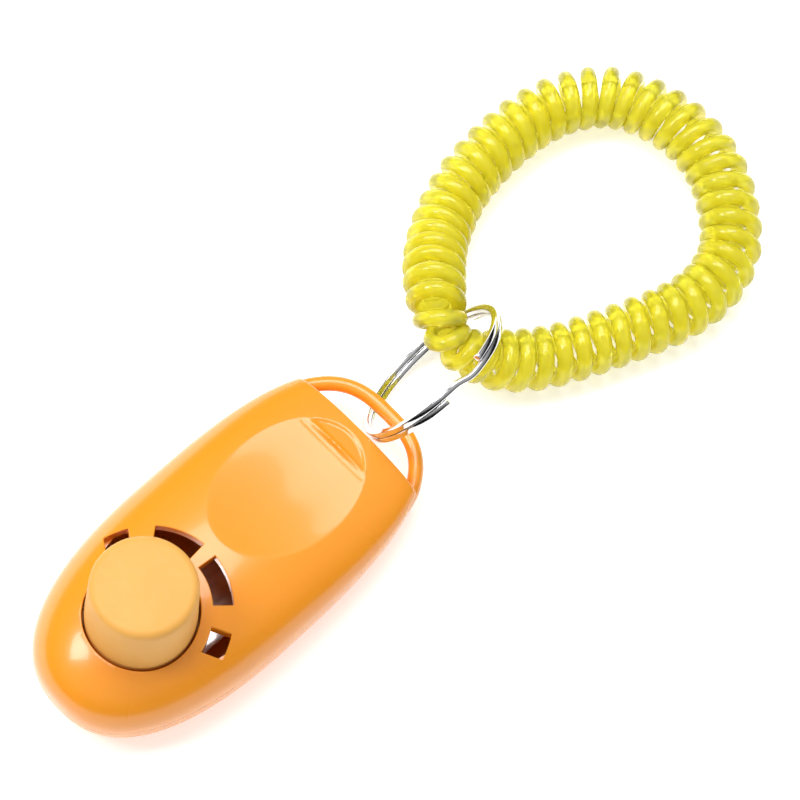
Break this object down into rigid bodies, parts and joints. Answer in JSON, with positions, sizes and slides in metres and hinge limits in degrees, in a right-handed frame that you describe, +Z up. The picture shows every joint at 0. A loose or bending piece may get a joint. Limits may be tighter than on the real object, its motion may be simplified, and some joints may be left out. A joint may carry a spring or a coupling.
{
  "type": "clicker trainer",
  "caption": "Egg-shaped pet training clicker with a round push button, a thumb dish, a key loop, a split ring and a coiled elastic wrist band.",
  "frame": {"origin": "on the flat underside, under the middle of the case", "axes": "+Y from the button end to the key loop, +Z up out of the cover, X = 0 is the case's plane of symmetry"},
  "size_m": [0.0481, 0.1357, 0.0267],
  "materials": {
    "shell": "glossy moulded orange plastic",
    "button": "satin moulded light orange plastic",
    "spring_steel": "rolled spring steel",
    "screw": "plated steel",
    "chrome": "bright plated steel",
    "clear_yellow": "clear yellow elastomer"
  },
  "bodies": {
    "case": {"upper_shell": "shell", "lower_shell": "shell", "click_plate": "spring_steel", "plate_clamp": "spring_steel", "clamp_screw_left": "screw", "clamp_screw_right": "screw", "case_screw_left": "screw", "case_screw_right": "screw"},
    "button": {"button_cap": "button"},
    "ring": {"split_ring": "chrome"},
    "band": {"wrist_coil": "clear_yellow"}
  },
  "joints": [
    {"name": "button_press", "type": "slide", "parent": "case", "child": "button", "axis": [0, -0.0872, -0.9962], "range_m": [0, 0.0022], "stiffness_N_per_m": 2500, "springref_m": -0.0004, "deforming": ["click_plate"]},
    {"name": "ring_swing", "type": "hinge", "parent": "case", "child": "ring", "pos_m": [0, 0.03148, 0.00602], "axis": [1, 0, 0], "range_deg": [-90, 0]},
    {"name": "band_swing", "type": "hinge", "parent": "ring", "child": "band", "pos_m": [-0.0003, 0.045, 0.0099], "axis": [0.8956, 0.1079, -0.4316], "range_deg": [-60, 60]}
  ]
}
